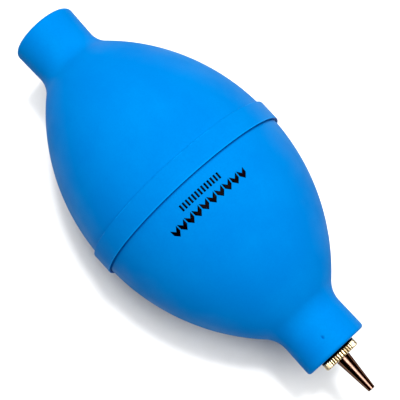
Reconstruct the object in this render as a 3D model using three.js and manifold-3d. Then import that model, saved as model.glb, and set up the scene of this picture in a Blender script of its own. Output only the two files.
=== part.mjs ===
// Dust blower bulb: a hollow rubber bulb with a screwed-in nozzle and a ball check valve in its tail.
// Millimetres, +Z up. The bulb lies on its raised band with its long axis along +X and the nozzle
// at +X. Every piece is turned about that axis. "Station" means the distance along it, measured
// from the middle of the band and positive towards the nozzle.

import * as THREE from "three";
import { mergeVertices } from "three/addons/utils/BufferGeometryUtils.js";
import Module from "manifold-3d";

const wasm = await Module();
wasm.setup();

// ---------------------------------------------------------------- driving dimensions
const NOZZLE_TIP = 66.5;
const AXIS_HEIGHT = 28; // the axis lies one band radius above the surface it rests on
const FILM = 0.1; // glue film or fitting clearance between turned pieces

const BULB = {
  sides: 40,
  crownRadius: 27.3, // largest radius of the belly
  archRadius: 56.3, // radius of the belly's lengthwise arc
  archStation: 0.8, // each half's arc is centred this far to its own side of the middle
  wall: 2.4,
  boreRadius: 4.6,
};
// Each neck's end is its distance from the middle of the band.
const FRONT_NECK = { end: 54.1, root: 8.8, mouth: 8.9, fillet: 7, rounding: 0.9 };
const TAIL_NECK = { end: 54.7, root: 8.6, mouth: 8.85, fillet: 6.5, rounding: 1.3 };
const LAP = { length: 3, radius: 26.05 }; // the front half's rim plugs into the rear half's

const BAND = { radius: 28, width: 5.6, inner: 27.4, chamfer: 0.55, edge: 0.25 };

// Steps along each arc of the rubber's outline.
const ARC_STEPS = { belly: 8, fillet: 3, mouth: 2, inside: 7 };
const CURVE_STEPS = 16; // along each curve of an extruded outline

const SLEEVE = { sides: 24, radius: 4.5, root: 4.1 };
const BARB = { count: 3, length: 2.4, first: 1.2, slope: 0.8 }; // slope: the gentle side's share
const THREAD = {
  pitch: 1, core: 2.4, crest: 2.9, base: 0.7, flat: 0.08, sunk: 0.2, stepsPerTurn: 12,
};
const THREAD_CLEARANCE = { radial: 0.15, bore: 0.2, base: 0.25 };
const SHANK_TURNS = [0.5, 5.5]; // where the shank's ridge starts and ends, in turns
const BUSH_TURNS = [-0.5, 7]; // the groove runs out past the bush's mouth
const BUSH = { start: 45.6, end: FRONT_NECK.end };

const SEAL = { start: 54.2, end: 54.6, inner: 2.6, outer: 5.1 };
const COLLAR = { start: 54.7, end: 56.3, radius: 4.95, chamfer: 0.25 };
// A tooth's crest lies between two shares of its pitch. The cutter is longer than the collar, and
// the blank it is cut from is just clear of the teeth.
const KNURL = { teeth: 40, depth: 0.3, crest: [0.35, 0.65], overrun: 1, clear: 0.05 };
const COLLAR_BORE = { rear: 2.1, front: 1.6, step: 55.5 };
const SHANK = { start: 48, threadEnd: 53.9, end: 55.4, neck: 2.3, spigot: 2, bore: 1 };
const CONE = { shoulder: 56.4, base: 1.9, tip: 0.95, stem: 1.5, stemStart: 55.6, rounding: 0.15 };
const CONE_BORE = { rear: 0.9, tip: 0.5, taperStart: 58.4 };

const BARREL = { start: -54.1, end: -43.1, chamber: 3.2, inlet: 2.4, lip: 2.8, lipLength: 0.3 };
const RECESS = { radius: 3.45, floor: -53.2 };
const INLET_FLANGE_END = -52.2;
const SEAT = { start: -52.1, end: -51.2, outer: 3.1, inner: 1.3 };
const BALL = { radius: 1.9, seatGap: 0.06, around: 20, poleToPole: 12 };
const SPRING = {
  coilRadius: 1.3, wireRadius: 0.15, wireSides: 6, turns: 4.5, stepsPerTurn: 12, gap: 0.05,
};
const KEEPER = { start: -44.3, end: -43.5, radius: 3.1 };
const KEEPER_HOLES = { count: 6, radius: 0.5, circle: 2.3, sides: 10 };
const GAUZE = { start: -53.55, thickness: 0.25, radius: 3.3 };
const GAUZE_OPENING = { size: 0.7, pitch: 1.05, eachSide: 2, reach: 2.6 };
const SNAP_RING = { start: -54, thickness: 0.35, outer: 3.35, inner: 2.75, gap: Math.PI / 5 };

// ---------------------------------------------------------------- materials
function finish(color, roughness, metalness) {
  return new THREE.MeshStandardMaterial({ color, roughness, metalness });
}

const BLUE_RUBBER = finish(0x0c86e0, 0.7, 0);
const BLACK_RUBBER = finish(0x141414, 0.75, 0);
const BRASS = finish(0xb8954a, 0.35, 1);
const PALE_GOLD = finish(0xe8d3a0, 0.3, 1);
const COPPER = finish(0xb06a45, 0.18, 1);
const STEEL = finish(0xb9bcc0, 0.25, 1);

// ---------------------------------------------------------------- shape helpers
// Points are [station, radius] pairs, listed with the stations rising along the outside.
function turn(points, sides) {
  const profile = points.map(([station, radius]) => new THREE.Vector2(radius, station));
  const halfSide = Math.PI / sides;
  return new THREE.LatheGeometry(profile, sides, halfSide, 2 * Math.PI);
}

// A ring's profile ends where it starts.
function turnRing(points, sides) {
  return turn([...points, points[0]], sides);
}

// The same outline mirrored along the axis, with its points put back in rising order.
function endForEnd(points) {
  return points.map(([station, radius]) => [-station, radius]).reverse();
}

function plainRing({ start, end, inner, outer }, sides) {
  return turnRing([[start, outer], [end, outer], [end, inner], [start, inner]], sides);
}

// Points on a circular arc about [station, radius], from one angle to another, both included.
function arc(station, radius, size, fromAngle, toAngle, steps) {
  return Array.from({ length: steps + 1 }, (_, i) => {
    const angle = fromAngle + ((toAngle - fromAngle) * i) / steps;
    return [station + size * Math.cos(angle), radius + size * Math.sin(angle)];
  });
}

// An outline drawn across the axis, extruded along it from one station.
function slab(outline, station, thickness) {
  const options = { depth: thickness, bevelEnabled: false, curveSegments: CURVE_STEPS };
  const geometry = new THREE.ExtrudeGeometry(outline, options);
  return geometry.rotateX(-Math.PI / 2).translate(0, station, 0);
}

// The corners of a regular polygon with its centre at x, y.
function polygon(x, y, radius, corners, firstAngle = 0) {
  return Array.from({ length: corners }, (_, i) => {
    const angle = firstAngle + (2 * Math.PI * i) / corners;
    return new THREE.Vector2(x + radius * Math.cos(angle), y + radius * Math.sin(angle));
  });
}

function toSolid(geometry) {
  const bare = geometry.clone();
  bare.deleteAttribute("normal");
  bare.deleteAttribute("uv");
  const merged = mergeVertices(bare);
  return new wasm.Manifold(new wasm.Mesh({
    numProp: 3,
    vertProperties: Float32Array.from(merged.attributes.position.array),
    triVerts: Uint32Array.from(merged.index.array),
  }));
}

function toGeometry(solid) {
  const mesh = solid.getMesh();
  const geometry = new THREE.BufferGeometry();
  geometry.setAttribute("position", new THREE.BufferAttribute(mesh.vertProperties, 3));
  geometry.setIndex(new THREE.BufferAttribute(mesh.triVerts, 1));
  geometry.computeVertexNormals();
  return geometry;
}

// ---------------------------------------------------------------- rubber bulb
const ARCH_CENTRE = BULB.crownRadius - BULB.archRadius; // below the axis, as a radius

// Station where an arc of the given radius about the arch centre comes down to a given radius.
function archStationAt(archRadius, radius) {
  return BULB.archStation + Math.sqrt(archRadius ** 2 - (radius - ARCH_CENTRE) ** 2);
}

// Outside of one half, from the given rim station over the belly to the rim of the mouth. The belly
// arc runs into the neck through a hollow fillet that touches both.
function outsideOfHalf(neck, rimStation) {
  const filletRadius = neck.root + neck.fillet;
  const reach = BULB.archRadius + neck.fillet;
  const filletStation = archStationAt(reach, filletRadius);
  const touch = Math.atan2(filletRadius - ARCH_CENTRE, filletStation - BULB.archStation);
  const rimAngle = Math.acos((rimStation - BULB.archStation) / BULB.archRadius);
  const belly = arc(
    BULB.archStation, ARCH_CENTRE, BULB.archRadius, rimAngle, touch, ARC_STEPS.belly,
  );
  const fillet = arc(
    filletStation, filletRadius, neck.fillet, touch + Math.PI, 1.5 * Math.PI, ARC_STEPS.fillet,
  ).slice(1);
  const rounding = neck.rounding;
  const mouth = arc(
    neck.end - rounding, neck.mouth - rounding, rounding, Math.PI / 2, 0, ARC_STEPS.mouth,
  );
  return [...belly, ...fillet, ...mouth];
}

// Inside of one half, from the mouth of the bore back along the belly to the given rim station.
function insideOfHalf(neck, rimStation) {
  const innerArch = BULB.archRadius - BULB.wall;
  const boreEnd = archStationAt(innerArch, BULB.boreRadius);
  const fromAngle = Math.acos((boreEnd - BULB.archStation) / innerArch);
  const toAngle = Math.acos((rimStation - BULB.archStation) / innerArch);
  const belly = arc(
    BULB.archStation, ARCH_CENTRE, innerArch, fromAngle, toAngle, ARC_STEPS.inside,
  );
  return [[neck.end, BULB.boreRadius], ...belly];
}

function frontCup() {
  const rim = FILM / 2;
  const spigot = LAP.radius - FILM / 2;
  const spigotInside = BULB.crownRadius - BULB.wall;
  return turnRing([
    [rim, spigot],
    ...outsideOfHalf(FRONT_NECK, rim),
    ...insideOfHalf(FRONT_NECK, BULB.archStation),
    [-LAP.length, spigotInside],
    [-LAP.length, spigot],
  ], BULB.sides);
}

// The rear half is worked out like a front half and then turned end for end.
function rearCup() {
  const rim = FILM / 2;
  const socket = LAP.radius + FILM / 2;
  const socketDepth = LAP.length + FILM;
  return turnRing(endForEnd([
    [rim, socket],
    ...outsideOfHalf(TAIL_NECK, rim),
    ...insideOfHalf(TAIL_NECK, socketDepth),
    [socketDepth, socket],
  ]), BULB.sides);
}

// The band's flats, not its corners, are at its stated radius, so that it rests on one.
function seamBand() {
  const acrossCorners = 1 / Math.cos(Math.PI / BULB.sides);
  const half = BAND.width / 2;
  const crown = BAND.radius * acrossCorners;
  const shoulder = (BAND.radius - BAND.edge) * acrossCorners;
  const foot = BAND.inner * acrossCorners;
  return turnRing([
    [-half, foot],
    [-half, shoulder - BAND.chamfer / 2],
    [-half + BAND.edge, shoulder],
    [-half + BAND.chamfer, crown],
    [half - BAND.chamfer, crown],
    [half - BAND.edge, shoulder],
    [half, shoulder - BAND.chamfer / 2],
    [half, foot],
  ], BULB.sides);
}

// ---------------------------------------------------------------- threads and barbs
// Saw-tooth barbs on a sleeve that was pushed in from its mouth. Each rises steeply on the mouth's
// side and falls away gently on the other.
function barbs(mouthStation) {
  return Array.from({ length: BARB.count }, (_, i) => {
    const station = mouthStation + BARB.first + i * BARB.length;
    return [[station, SLEEVE.root], [station, SLEEVE.radius],
      [station + BARB.length * BARB.slope, SLEEVE.root]];
  }).flat();
}

// A right-hand screw thread's ridge: a straight bar of V section, extruded along what becomes the
// angle and then wound round the axis, one pitch of rise for every turn. Turn 0 is at the shank's
// inner end on every ridge, so that a ridge and its groove stay in step.
function threadRidge([fromTurn, toTurn], extraRadius, extraBase) {
  const foot = THREAD.core - THREAD.sunk;
  const crest = THREAD.crest + extraRadius;
  const halfBase = (THREAD.base + extraBase) / 2;
  const halfFlat = THREAD.flat / 2;
  const section = new THREE.Shape([
    new THREE.Vector2(-halfBase, foot),
    new THREE.Vector2(halfBase, foot),
    new THREE.Vector2(halfBase, THREAD.core),
    new THREE.Vector2(halfFlat, crest),
    new THREE.Vector2(-halfFlat, crest),
    new THREE.Vector2(-halfBase, THREAD.core),
  ]);
  const ridge = new THREE.ExtrudeGeometry(section, {
    depth: toTurn - fromTurn,
    steps: Math.round((toTurn - fromTurn) * THREAD.stepsPerTurn),
    bevelEnabled: false,
  });
  const corner = ridge.attributes.position;
  for (let i = 0; i < corner.count; i += 1) {
    const turned = fromTurn + corner.getZ(i);
    const angle = 2 * Math.PI * turned;
    const radius = corner.getY(i);
    const station = SHANK.start + corner.getX(i) + THREAD.pitch * turned;
    corner.setXYZ(i, radius * Math.sin(angle), station, radius * Math.cos(angle));
  }
  return ridge;
}

function neckBush() {
  const bore = THREAD.core + THREAD_CLEARANCE.bore;
  const blank = toSolid(turnRing([
    [BUSH.start, bore],
    [BUSH.start, SLEEVE.root],
    ...endForEnd(barbs(-BUSH.end)),
    [BUSH.end, SLEEVE.root],
    [BUSH.end, bore],
  ], SLEEVE.sides));
  const { radial, base } = THREAD_CLEARANCE;
  return toGeometry(blank.subtract(toSolid(threadRidge(BUSH_TURNS, radial, base))));
}

function nozzleShank() {
  const tube = toSolid(turnRing([
    [SHANK.start, SHANK.bore],
    [SHANK.start, THREAD.core],
    [SHANK.threadEnd, THREAD.core],
    [SHANK.threadEnd, SHANK.neck],
    [COLLAR.start - FILM, SHANK.neck],
    [COLLAR.start - FILM, SHANK.spigot],
    [SHANK.end, SHANK.spigot],
    [SHANK.end, SHANK.bore],
  ], SLEEVE.sides));
  return toGeometry(tube.add(toSolid(threadRidge(SHANK_TURNS, 0, 0))));
}

// ---------------------------------------------------------------- nozzle
function knurledCollar() {
  const toothAngle = (2 * Math.PI) / KNURL.teeth;
  const root = COLLAR.radius - KNURL.depth;
  const [rise, fall] = KNURL.crest;
  const tooth = [[0, root], [rise, COLLAR.radius], [fall, COLLAR.radius]];
  const corners = Array.from({ length: KNURL.teeth }, (_, i) => tooth.map(([share, radius]) => {
    const angle = (i + share) * toothAngle;
    return new THREE.Vector2(radius * Math.cos(angle), radius * Math.sin(angle));
  })).flat();
  const cutterStart = COLLAR.start - KNURL.overrun;
  const cutterLength = COLLAR.end - COLLAR.start + 2 * KNURL.overrun;
  const blankRadius = COLLAR.radius + KNURL.clear;
  const toothed = toSolid(slab(new THREE.Shape(corners), cutterStart, cutterLength));
  const blank = toSolid(turnRing([
    [COLLAR.start, COLLAR_BORE.rear],
    [COLLAR.start, COLLAR.radius - COLLAR.chamfer],
    [COLLAR.start + COLLAR.chamfer, blankRadius],
    [COLLAR.end - COLLAR.chamfer, blankRadius],
    [COLLAR.end, COLLAR.radius - COLLAR.chamfer],
    [COLLAR.end, COLLAR_BORE.front],
    [COLLAR_BORE.step, COLLAR_BORE.front],
    [COLLAR_BORE.step, COLLAR_BORE.rear],
  ], SLEEVE.sides));
  return toGeometry(toothed.intersect(blank));
}

function nozzleCone() {
  return turnRing([
    [CONE.stemStart, CONE_BORE.rear],
    [CONE.stemStart, CONE.stem],
    [CONE.shoulder, CONE.stem],
    [CONE.shoulder, CONE.base],
    [NOZZLE_TIP - CONE.rounding, CONE.tip],
    [NOZZLE_TIP, CONE.tip - CONE.rounding],
    [NOZZLE_TIP, CONE_BORE.tip],
    [CONE_BORE.taperStart, CONE_BORE.rear],
  ], SLEEVE.sides);
}

// ---------------------------------------------------------------- inlet valve
// Sleeve with an open mouth and a recess for the gauze, a flange that the seat rests on, the ball's
// chamber, and an end rolled in over the keeper.
function valveBarrel() {
  return turnRing([
    [BARREL.start, RECESS.radius],
    [BARREL.start, SLEEVE.root],
    ...barbs(BARREL.start),
    [BARREL.end, SLEEVE.root],
    [BARREL.end, BARREL.lip],
    [BARREL.end - BARREL.lipLength, BARREL.lip],
    [BARREL.end - BARREL.lipLength, BARREL.chamber],
    [INLET_FLANGE_END, BARREL.chamber],
    [INLET_FLANGE_END, BARREL.inlet],
    [RECESS.floor, BARREL.inlet],
    [RECESS.floor, RECESS.radius],
  ], SLEEVE.sides);
}

// The ball sits on the seat's inner edge.
function ballStation() {
  return SEAT.end + Math.sqrt(BALL.radius ** 2 - SEAT.inner ** 2) + BALL.seatGap;
}

class CoilCurve extends THREE.Curve {
  constructor(fromStation, toStation) {
    super();
    this.from = fromStation;
    this.to = toStation;
  }

  getPoint(t, target = new THREE.Vector3()) {
    const angle = 2 * Math.PI * SPRING.turns * t;
    const station = this.from + (this.to - this.from) * t;
    return target.set(
      SPRING.coilRadius * Math.sin(angle), station, SPRING.coilRadius * Math.cos(angle),
    );
  }
}

// The first coil rests on the ball's shoulder and the last on the keeper.
function valveSpring() {
  const reach = BALL.radius + SPRING.wireRadius + SPRING.gap;
  const first = ballStation() + Math.sqrt(reach ** 2 - SPRING.coilRadius ** 2);
  const last = KEEPER.start - SPRING.wireRadius - SPRING.gap;
  const wire = new THREE.Shape(polygon(0, 0, SPRING.wireRadius, SPRING.wireSides));
  return new THREE.ExtrudeGeometry(wire, {
    extrudePath: new CoilCurve(first, last),
    steps: SPRING.turns * SPRING.stepsPerTurn,
    bevelEnabled: false,
  });
}

function ballKeeper() {
  const disc = new THREE.Shape(polygon(0, 0, KEEPER.radius, SLEEVE.sides));
  const { count, radius, circle, sides } = KEEPER_HOLES;
  for (let i = 0; i < count; i += 1) {
    const angle = (2 * Math.PI * i) / count;
    const [x, y] = [circle * Math.cos(angle), circle * Math.sin(angle)];
    disc.holes.push(new THREE.Path(polygon(x, y, radius, sides)));
  }
  return slab(disc, KEEPER.start, KEEPER.end - KEEPER.start);
}

// A square mesh in a round rim: every opening of the grid that clears the rim is cut.
function dustGauze() {
  const { radius, thickness } = GAUZE;
  const { size, pitch, eachSide, reach } = GAUZE_OPENING;
  let gauze = toSolid(new THREE.CylinderGeometry(radius, radius, thickness, SLEEVE.sides));
  for (let row = -eachSide; row <= eachSide; row += 1) {
    for (let column = -eachSide; column <= eachSide; column += 1) {
      const [x, z] = [column * pitch, row * pitch];
      if (Math.hypot(x, z) < reach) {
        const cutter = new THREE.BoxGeometry(size, 2 * thickness, size).translate(x, 0, z);
        gauze = gauze.subtract(toSolid(cutter));
      }
    }
  }
  return toGeometry(gauze).translate(0, GAUZE.start + GAUZE.thickness / 2, 0);
}

function gauzeRing() {
  const half = SNAP_RING.gap / 2;
  const outline = new THREE.Shape();
  outline.absarc(0, 0, SNAP_RING.outer, half, 2 * Math.PI - half, false);
  outline.absarc(0, 0, SNAP_RING.inner, 2 * Math.PI - half, half, true);
  outline.closePath();
  return slab(outline, SNAP_RING.start, SNAP_RING.thickness);
}

// ---------------------------------------------------------------- assembly
function piece(name, geometry, material) {
  const mesh = new THREE.Mesh(geometry, material.clone());
  mesh.name = name;
  return mesh;
}

const ball = piece("valve_ball", new THREE.SphereGeometry(BALL.radius, BALL.around, BALL.poleToPole), STEEL);
ball.position.y = ballStation();

const bulb = new THREE.Group();
bulb.add(
  piece("rear_cup", rearCup(), BLUE_RUBBER),
  piece("front_cup", frontCup(), BLUE_RUBBER),
  piece("seam_band", seamBand(), BLUE_RUBBER),
);

const valve = new THREE.Group();
valve.add(
  piece("valve_barrel", valveBarrel(), BRASS),
  piece("valve_seat", plainRing(SEAT, SLEEVE.sides), BLACK_RUBBER),
  ball,
  piece("valve_spring", valveSpring(), STEEL),
  piece("ball_keeper", ballKeeper(), BRASS),
  piece("dust_gauze", dustGauze(), STEEL),
  piece("gauze_ring", gauzeRing(), STEEL),
);

const nozzle = new THREE.Group();
nozzle.add(
  piece("neck_bush", neckBush(), BRASS),
  piece("collar_seal", plainRing(SEAL, SLEEVE.sides), BLACK_RUBBER),
  piece("nozzle_shank", nozzleShank(), BRASS),
  piece("knurled_collar", knurledCollar(), PALE_GOLD),
  piece("nozzle_cone", nozzleCone(), COPPER),
);

// The pieces are drawn about their own +Y axis, which this group lays along +X.
const laidDown = new THREE.Group();
laidDown.rotation.z = -Math.PI / 2;
laidDown.position.set(-(NOZZLE_TIP - TAIL_NECK.end) / 2, 0, AXIS_HEIGHT);
laidDown.add(bulb, valve, nozzle);

const blower = new THREE.Group();
blower.add(laidDown);

export default blower;
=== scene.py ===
# %% [markdown]
# # A dust blower bulb
# The object is a hollow rubber bulb, squeezed in the hand to blow dust off a lens. Air leaves
# through a small screwed-in metal nozzle, and comes back in through a ball valve in the tail.
# The imported model already has every piece at its true place, so it is loaded first and everything
# below is built round it.

# %% Load the imported frame
import math

import bpy
import numpy as np
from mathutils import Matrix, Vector


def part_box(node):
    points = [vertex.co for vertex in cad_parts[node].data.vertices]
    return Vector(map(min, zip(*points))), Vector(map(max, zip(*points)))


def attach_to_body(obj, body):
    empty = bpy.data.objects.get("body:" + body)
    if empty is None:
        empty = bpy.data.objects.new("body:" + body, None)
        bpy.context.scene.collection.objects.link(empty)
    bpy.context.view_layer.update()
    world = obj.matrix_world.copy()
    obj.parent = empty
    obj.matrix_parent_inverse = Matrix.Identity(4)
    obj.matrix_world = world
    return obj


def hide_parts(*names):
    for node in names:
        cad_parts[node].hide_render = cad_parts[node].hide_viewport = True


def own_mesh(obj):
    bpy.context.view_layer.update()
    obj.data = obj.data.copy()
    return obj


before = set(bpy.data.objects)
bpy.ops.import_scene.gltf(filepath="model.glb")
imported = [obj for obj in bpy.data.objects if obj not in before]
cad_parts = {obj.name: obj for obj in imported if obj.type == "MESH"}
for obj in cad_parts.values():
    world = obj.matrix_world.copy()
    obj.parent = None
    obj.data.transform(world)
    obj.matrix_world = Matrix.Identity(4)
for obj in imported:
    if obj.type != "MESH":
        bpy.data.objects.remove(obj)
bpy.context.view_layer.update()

# %% [markdown]
# Nearly every piece is turned about one axis, so places are easiest to give as a *station*, the
# distance along that axis from the middle of the raised band, and a radius. Stations grow towards
# the nozzle. The band's own box in the frame gives the axis. Measures below are in millimetres,
# and only the helper that makes a mesh turns them into metres.

# %% Find the axis
MM = 0.001
band_low, band_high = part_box("seam_band")
MIDDLE = 1000 * (band_low.x + band_high.x) / 2
AXIS_HEIGHT = 1000 * (band_low.z + band_high.z) / 2
BAND_HALF = 1000 * (band_high.x - band_low.x) / 2
BAND_RADIUS = 1000 * (band_high.z - band_low.z) / 2
print(f"band middle at x = {MIDDLE:.2f}, axis at z = {AXIS_HEIGHT:.2f}, band +-{BAND_HALF:.2f} mm")


def node_span(name):
    """The first and last station of a CAD node, from its box."""
    low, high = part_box(name)
    return 1000 * low.x - MIDDLE, 1000 * high.x - MIDDLE


# %% [markdown]
# ## The picture
# The bulb lies on a pale table and is seen from almost straight above, a little from the nozzle's
# end and from one side. A long lens from a third of a metre keeps its outline nearly flat. The
# camera could be aimed with a constraint, but a turn worked out from two angles stays readable,
# and it leaves nothing live in the file.

# %% Camera
CAMERA_AZIMUTH = math.radians(47.89)
CAMERA_ELEVATION = math.radians(78.96)
CAMERA_DISTANCE = 0.34116
CAMERA_AIM = Vector((-0.001572, 0.000431, 0.027821))
CAMERA_LENS = 124.2
CAMERA_SENSOR = 36.0
CAMERA_NEAR = 0.01


def direction(azimuth, elevation):
    """Unit vector from the object towards a viewer or lamp.

    Azimuth 0 is -Y and 90 degrees is +X.
    """
    return Vector((
        math.sin(azimuth) * math.cos(elevation),
        -math.cos(azimuth) * math.cos(elevation),
        math.sin(elevation),
    ))


def aim_back(thing, back):
    """Turns a camera or lamp so that it looks along the opposite of back."""
    thing.rotation_mode = "QUATERNION"
    thing.rotation_quaternion = (-back).to_track_quat("-Z", "Y")


camera_back = direction(CAMERA_AZIMUTH, CAMERA_ELEVATION)
camera = bpy.data.objects.new("camera", bpy.data.cameras.new("camera"))
camera.data.lens = CAMERA_LENS
camera.data.sensor_width = CAMERA_SENSOR
camera.data.clip_start = CAMERA_NEAR
camera.location = CAMERA_AIM + CAMERA_DISTANCE * camera_back
aim_back(camera, camera_back)
bpy.context.scene.collection.objects.link(camera)
bpy.context.scene.camera = camera
print("camera at, mm:", [round(1000 * c, 1) for c in camera.location])

# %% [markdown]
# The light is what a table by a window gets: one small lamp near the camera, which leaves a narrow
# shadow along one flank, and four wide soft ones. Sun lamps are used, since their light has the
# same direction everywhere and their angle alone says how soft they are. The room is left nearly
# dark, so that polished metal has something dark to show between the lamps, but it looks white
# itself. The standard view transform keeps a strong blue strong, where the filmic one greys it.
# A very small black level takes away the last haze of light, as a printed picture's black does.

# %% Lamps and room
# Each lamp: azimuth and elevation in degrees, how wide it looks in degrees, and its strength.
LAMPS = {
    "near_lamp": (210, 80, 5, 1.60),
    "overhead_window": (0, 88, 30, 2.50),
    "side_window": (120, 65, 30, 1.60),
    "tail_window": (245, 65, 30, 1.35),
    "back_window": (225, 40, 30, 1.45),
}
ROOM_GLOW = 0.04
ROOM_LOOK = 1.0
WHITE = (1.0, 1.0, 1.0, 1.0)
PRINT_BLACK = 0.009

scene = bpy.context.scene
scene.view_settings.view_transform = "Standard"
scene.view_settings.look = "None"
scene.view_settings.use_curve_mapping = True
scene.view_settings.curve_mapping.black_level = (PRINT_BLACK,) * 3
scene.view_settings.curve_mapping.update()

for lamp_name, (azimuth, elevation, width, strength) in LAMPS.items():
    lamp = bpy.data.objects.new(lamp_name, bpy.data.lights.new(lamp_name, "SUN"))
    lamp.data.angle = math.radians(width)
    lamp.data.energy = strength
    lamp_back = direction(math.radians(azimuth), math.radians(elevation))
    lamp.location = CAMERA_AIM + lamp_back
    aim_back(lamp, lamp_back)
    scene.collection.objects.link(lamp)
    print(f"{lamp_name}: {math.degrees(camera_back.angle(lamp_back)):.1f} degrees from the camera")

room = bpy.data.worlds.new("white_room")
room.use_nodes = True
room_nodes, room_links = room.node_tree.nodes, room.node_tree.links
glow = room_nodes["Background"]
glow.inputs["Color"].default_value = WHITE
glow.inputs["Strength"].default_value = ROOM_GLOW
look = room_nodes.new("ShaderNodeBackground")
look.inputs["Color"].default_value = WHITE
look.inputs["Strength"].default_value = ROOM_LOOK
ray = room_nodes.new("ShaderNodeLightPath")
either = room_nodes.new("ShaderNodeMixShader")
room_links.new(ray.outputs["Is Camera Ray"], either.inputs[0])
room_links.new(glow.outputs[0], either.inputs[1])
room_links.new(look.outputs[0], either.inputs[2])
room_links.new(either.outputs[0], room_nodes["World Output"].inputs["Surface"])
scene.world = room

# %% [markdown]
# ## Mesh helpers
# A mesh is only a list of points and a list of faces that name them. Each surface here is a grid:
# rows along one direction and columns along the other, worked out as whole arrays. The faces of a
# grid are the same for every shape, so one helper makes them all.

# %% Grids and meshes


def grid_faces(rows, columns, wrap_rows=True, wrap_columns=True):
    """One quad for each cell of a grid: a point, the next row's, that one's neighbour, and its own.

    A wrapped direction joins its last line to its first. With rows along the axis and columns
    turning round it, the quads face outwards.
    """
    number = np.arange(rows * columns).reshape(rows, columns)
    if wrap_rows:
        number = np.vstack([number, number[:1]])
    if wrap_columns:
        number = np.hstack([number, number[:, :1]])
    corners = [number[:-1, :-1], number[1:, :-1], number[1:, 1:], number[:-1, 1:]]
    return np.stack(corners, axis=-1).reshape(-1, 4)


def put_mesh(name, points, *face_sets):
    """A smooth-shaded mesh object at the origin, from points in millimetres."""
    mesh = bpy.data.meshes.new(name)
    faces = [face for faces in face_sets for face in faces.tolist()]
    mesh.from_pydata(points.reshape(-1, 3) * MM, [], faces)
    mesh.shade_smooth()
    mesh.update()
    made = bpy.data.objects.new(name, mesh)
    scene.collection.objects.link(made)
    print(f"{name}: {len(mesh.vertices)} points, {len(mesh.polygons)} faces")
    return made


def place(station, radius, angle):
    """Points from stations, radii and angles: along the axis, then out from it at that angle.

    The angle runs from straight up towards +Y.
    """
    station, radius, angle = np.broadcast_arrays(station, radius, angle)
    return np.stack([
        MIDDLE + station,
        radius * np.sin(angle),
        AXIS_HEIGHT + radius * np.cos(angle),
    ], axis=-1)


def turn_round(count):
    """Evenly spaced angles for one whole turn, without a doubled last one."""
    return np.linspace(0, 2 * np.pi, count, endpoint=False)


def attach(piece, body, slot, *nodes):
    """The piece moves with a body and stands for CAD nodes, which are hidden. The slot is not used.
    """
    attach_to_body(piece, body)
    if nodes:
        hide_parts(*nodes)
    return piece


# %% [markdown]
# A turned piece is a closed outline carried round the axis. Sharp corners on an outline look like
# a computer made them, because real metal and rubber always have a small radius that catches the
# light. So each corner is swapped for a short curve, and one extra point on each leg keeps the
# long flats flat when the shading is smoothed.

# %% Turned pieces
CUT_LIMIT = 0.35  # the most of a leg that one corner's curve may take
FLAT_MARGIN = 1.3  # where the extra point on each leg sits, in cuts from the corner


def eased(corners, cut, steps=5):
    """A closed outline with every corner softened.

    A quadratic curve leaves one leg at the cut distance before the corner and joins the next leg
    at the same distance past it: (1-t)^2 start + 2t(1-t) corner + t^2 end.
    """
    corner = np.asarray(corners, float)
    back_leg = np.roll(corner, 1, axis=0) - corner
    next_leg = np.roll(corner, -1, axis=0) - corner
    back_length = np.linalg.norm(back_leg, axis=1, keepdims=True)
    next_length = np.linalg.norm(next_leg, axis=1, keepdims=True)
    longest = CUT_LIMIT * np.minimum(back_length, next_length)
    reach = np.minimum(np.reshape(cut, (-1, 1)), longest)
    back_step = back_leg / back_length * reach
    next_step = next_leg / next_length * reach
    t = np.linspace(0, 1, steps)[None, :, None]
    start, end = (corner + back_step)[:, None], (corner + next_step)[:, None]
    middle = corner[:, None]
    curve = (1 - t) ** 2 * start + 2 * t * (1 - t) * middle + t ** 2 * end
    before = (corner + FLAT_MARGIN * back_step)[:, None]
    after = (corner + FLAT_MARGIN * next_step)[:, None]
    return np.concatenate([before, curve, after], axis=1).reshape(-1, 2)


def turned(name, outline, sides):
    """A closed outline of (station, radius) points, carried once round the axis."""
    angle = turn_round(sides)
    points = place(outline[:, :1], outline[:, 1:], angle[None, :])
    return put_mesh(name, points, grid_faces(len(outline), sides))


def arc(station, radius, size, from_angle, to_angle, steps):
    """Points on a circle's arc about (station, radius): centre + size * (cos, sin) of the angle."""
    angle = np.linspace(from_angle, to_angle, steps)
    return np.stack([station + size * np.cos(angle), radius + size * np.sin(angle)], axis=-1)


# %% [markdown]
# ## Finishes
# A finish is a small tree of nodes. The shader's own sockets hold what is the same all over, and
# patterns made from Object coordinates drive what varies. Object coordinates are in metres, so a
# noise with scale 5000 has lumps of a fifth of a millimetre.

# %% Node helpers


def start_finish(name, **settings):
    """A new material, with its shader's own sockets set. Underscores stand for spaces."""
    material = bpy.data.materials.new(name)
    material.use_nodes = True
    shader = material.node_tree.nodes["Principled BSDF"]
    for socket, value in settings.items():
        shader.inputs[socket.replace("_", " ")].default_value = value
    return material, shader


def add_node(material, kind, settings=None, **inputs):
    """One node. An input is a number or colour, or another node's output, which is linked."""
    node = material.node_tree.nodes.new("ShaderNode" + kind)
    for name, value in (settings or {}).items():
        setattr(node, name, value)
    for name, value in inputs.items():
        socket = node.inputs[name.replace("_", " ")]
        if isinstance(value, bpy.types.NodeSocket):
            material.node_tree.links.new(value, socket)
        else:
            socket.default_value = value
    return node


def link(material, output, socket):
    """Joins an output to a socket."""
    material.node_tree.links.new(output, socket)


def noise(material, scale, detail=2.0, roughness=0.5, stretch=(1, 1, 1)):
    """A noise pattern in Object coordinates, stretched by a Mapping node's scale."""
    where = add_node(material, "TexCoord")
    turned_where = add_node(material, "Mapping", Vector=where.outputs["Object"], Scale=stretch)
    pattern = add_node(
        material, "TexNoise", Vector=turned_where.outputs["Vector"],
        Scale=scale, Detail=detail, Roughness=roughness,
    )
    return pattern.outputs["Fac"]


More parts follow.
